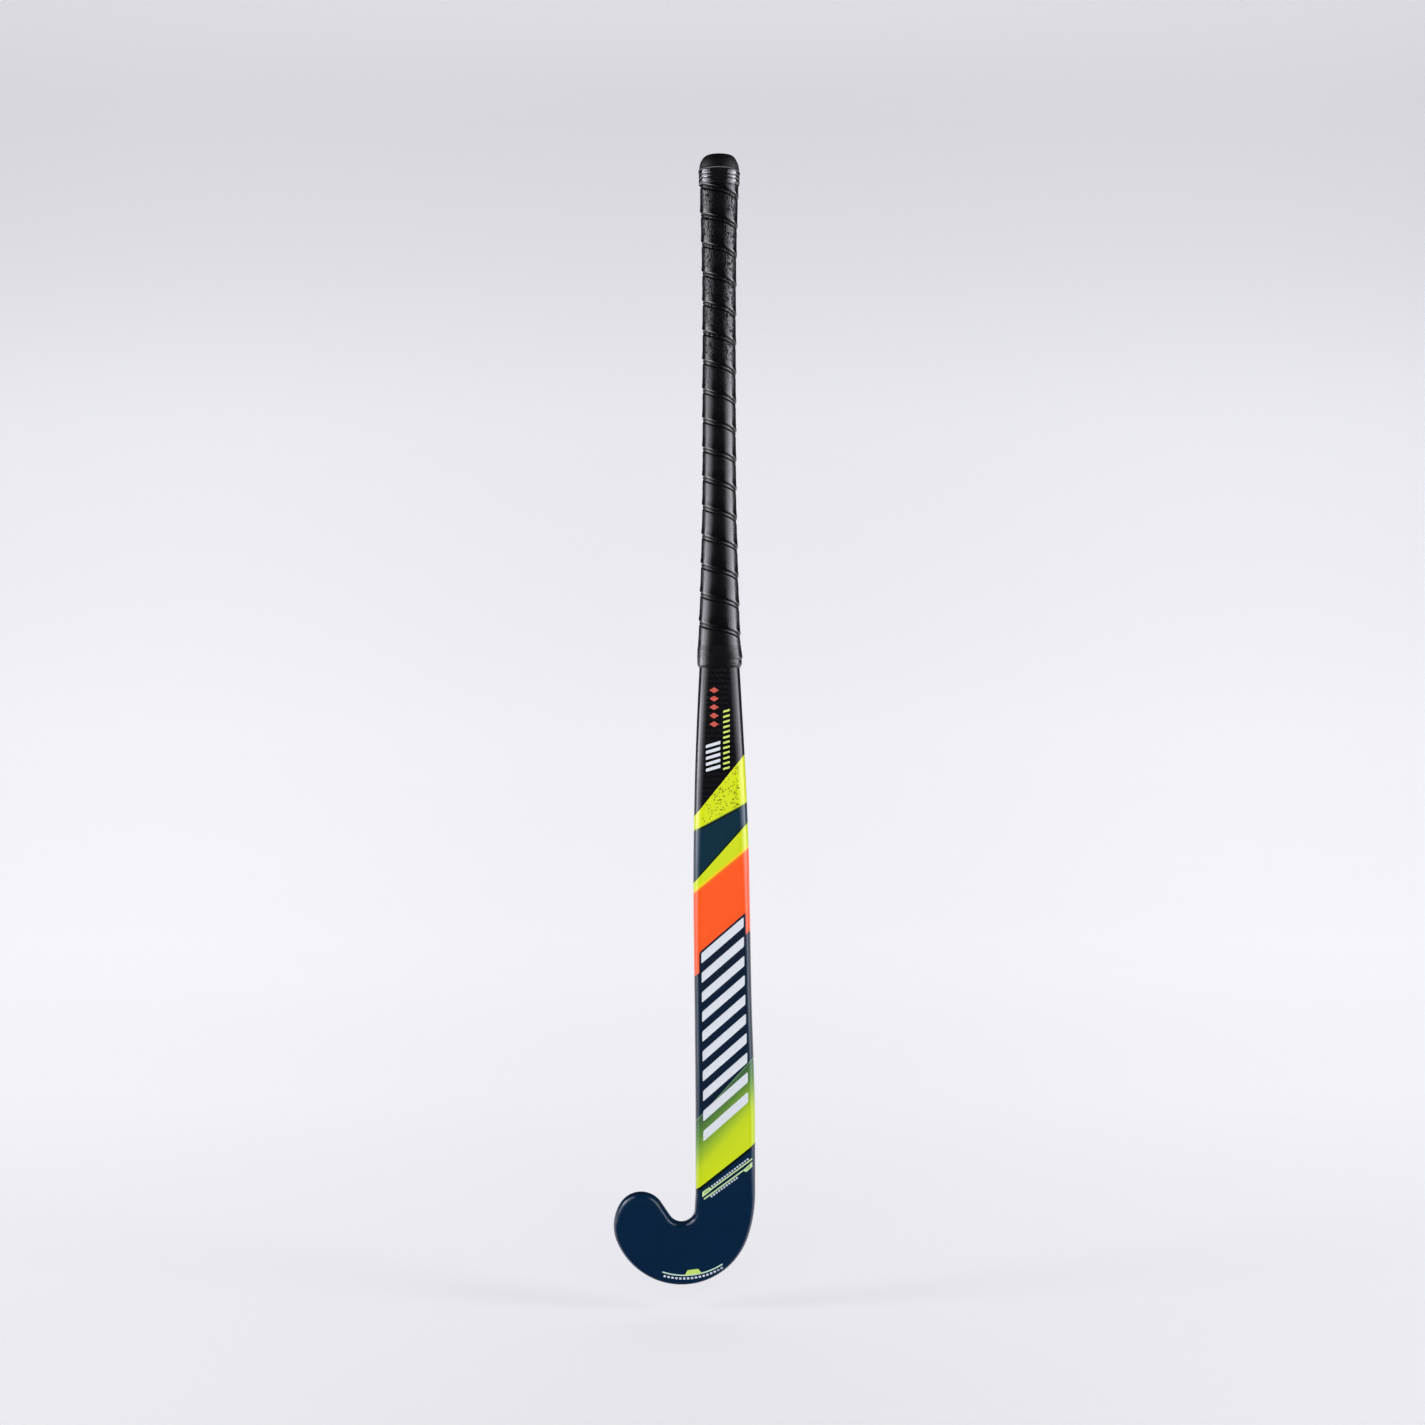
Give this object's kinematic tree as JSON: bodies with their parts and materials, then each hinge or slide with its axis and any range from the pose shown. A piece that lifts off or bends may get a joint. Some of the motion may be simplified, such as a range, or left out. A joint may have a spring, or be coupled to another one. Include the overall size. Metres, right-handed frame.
{
  "type": "field hockey stick",
  "caption": "Hooked field hockey stick with a flat playing face, a bowed hollow composite shaft and a spiral-wrapped oval handle.",
  "frame": {"origin": "under the lowest point of the head's sole, in the middle of the part's bounding box seen from above", "axes": "+Z along the handle towards the butt, the flat playing face looks towards -Y, the toe points towards -X"},
  "size_m": [0.116, 0.0474, 0.927],
  "materials": {
    "shell": "painted and clear-lacquered carbon and glass laminate",
    "inner_tube": "bare carbon laminate",
    "core_foam": "closed-cell foam",
    "carbon_guard": "lacquered carbon ply",
    "plug": "moulded",
    "cap_rubber": "satin moulded rubber",
    "liner": "adhesive-coated backing",
    "grip": "satin polyurethane, finely dimpled towards the top",
    "vinyl": "gloss vinyl tape"
  },
  "bodies": {
    "root": {"composite_shell": "shell", "inner_tube_left": "inner_tube", "inner_tube_right": "inner_tube", "head_core": "core_foam", "heel_guard": "carbon_guard", "edge_guard": "carbon_guard", "butt_plug": "plug", "butt_cap": "cap_rubber", "grip_liner": "liner", "grip_tape": "grip", "top_tape": "vinyl", "collar_tape": "vinyl"}
  },
  "joints": []
}
